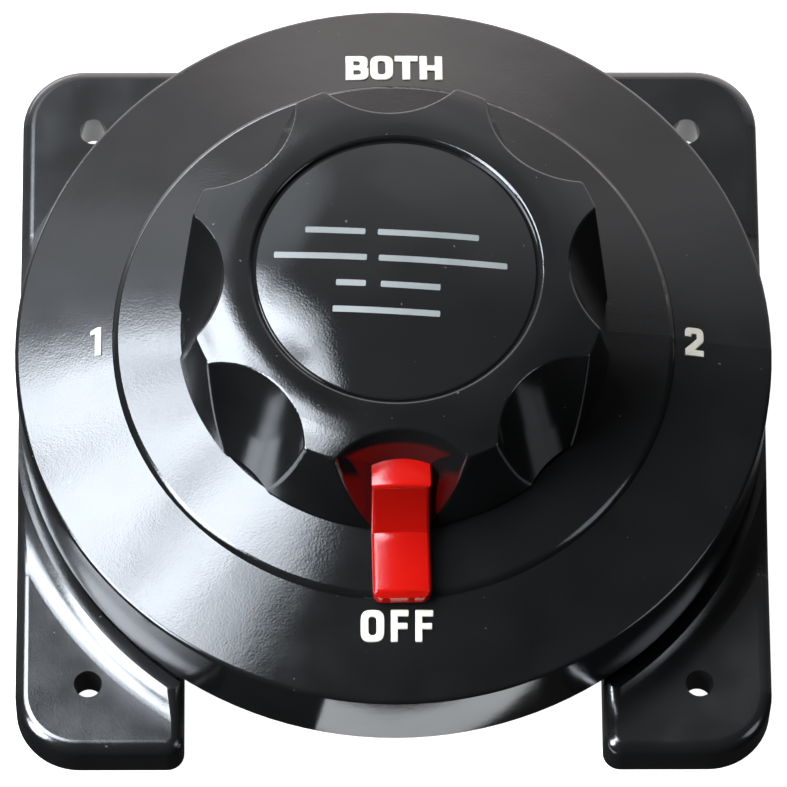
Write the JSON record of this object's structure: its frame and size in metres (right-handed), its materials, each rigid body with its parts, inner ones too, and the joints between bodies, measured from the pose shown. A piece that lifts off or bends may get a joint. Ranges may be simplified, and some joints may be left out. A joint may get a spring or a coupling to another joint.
{
  "type": "battery selector switch",
  "caption": "Round rotary battery selector switch on a square mounting base, with a fluted knob, a red pointer and a dial marked OFF, 1, BOTH and 2.",
  "frame": {"origin": "centre of the square mounting face, on the knob shaft's axis", "axes": "+Z out of the front along the knob shaft; -Y towards the OFF mark and the cable notch; +Y towards BOTH; -X towards 1; +X towards 2"},
  "size_m": [0.13, 0.13, 0.0663],
  "materials": {
    "base_plastic": "glossy black moulded plastic",
    "case_plastic": "glossy black moulded plastic with fine orange peel",
    "knob_plastic": "polished black moulded plastic",
    "label_plastic": "glossy printed disc",
    "pointer_plastic": "glossy red moulded plastic",
    "carrier_plastic": "brown-black phenolic moulding",
    "rotor_plastic": "natural glass-filled nylon",
    "rubber": "black nitrile rubber",
    "copper": "cold-worked copper",
    "brass": "turned brass",
    "stainless": "plain stainless steel",
    "spring_steel": "spring steel"
  },
  "bodies": {
    "case": {"mounting_base": "base_plastic", "front_case": "case_plastic", "contact_carrier": "carrier_plastic", "carrier_gasket": "rubber", "shaft_seal": "rubber", "shaft_bush": "brass", "stud_1": "brass", "stud_2": "brass", "stud_common": "brass", "nut_1": "brass", "nut_2": "brass", "nut_common": "brass", "washer_1": "brass", "washer_2": "brass", "washer_common": "brass", "contact_1": "copper", "contact_2": "copper", "contact_common": "copper", "lock_washer_1": "stainless", "lock_washer_2": "stainless", "lock_washer_common": "stainless", "case_screw_1": "stainless", "case_screw_2": "stainless", "case_screw_3": "stainless", "case_screw_4": "stainless", "carrier_screw_1": "stainless", "carrier_screw_2": "stainless", "carrier_screw_3": "stainless", "carrier_screw_4": "stainless", "detent_spring_1": "spring_steel", "detent_spring_2": "spring_steel"},
    "knob": {"knob": "knob_plastic", "label_disc": "label_plastic", "pointer": "pointer_plastic", "knob_screw": "stainless", "shaft": "brass", "thrust_washer": "stainless", "rotor": "rotor_plastic", "contact_spring": "spring_steel", "contact_bridge": "copper", "retaining_clip": "stainless"}
  },
  "joints": [
    {"name": "knob_turn", "type": "hinge", "parent": "case", "child": "knob", "pos_m": [0, 0, 0.04], "axis": [0, 0, -1], "continuous": true, "deforming": ["detent_spring_1", "detent_spring_2"]}
  ]
}
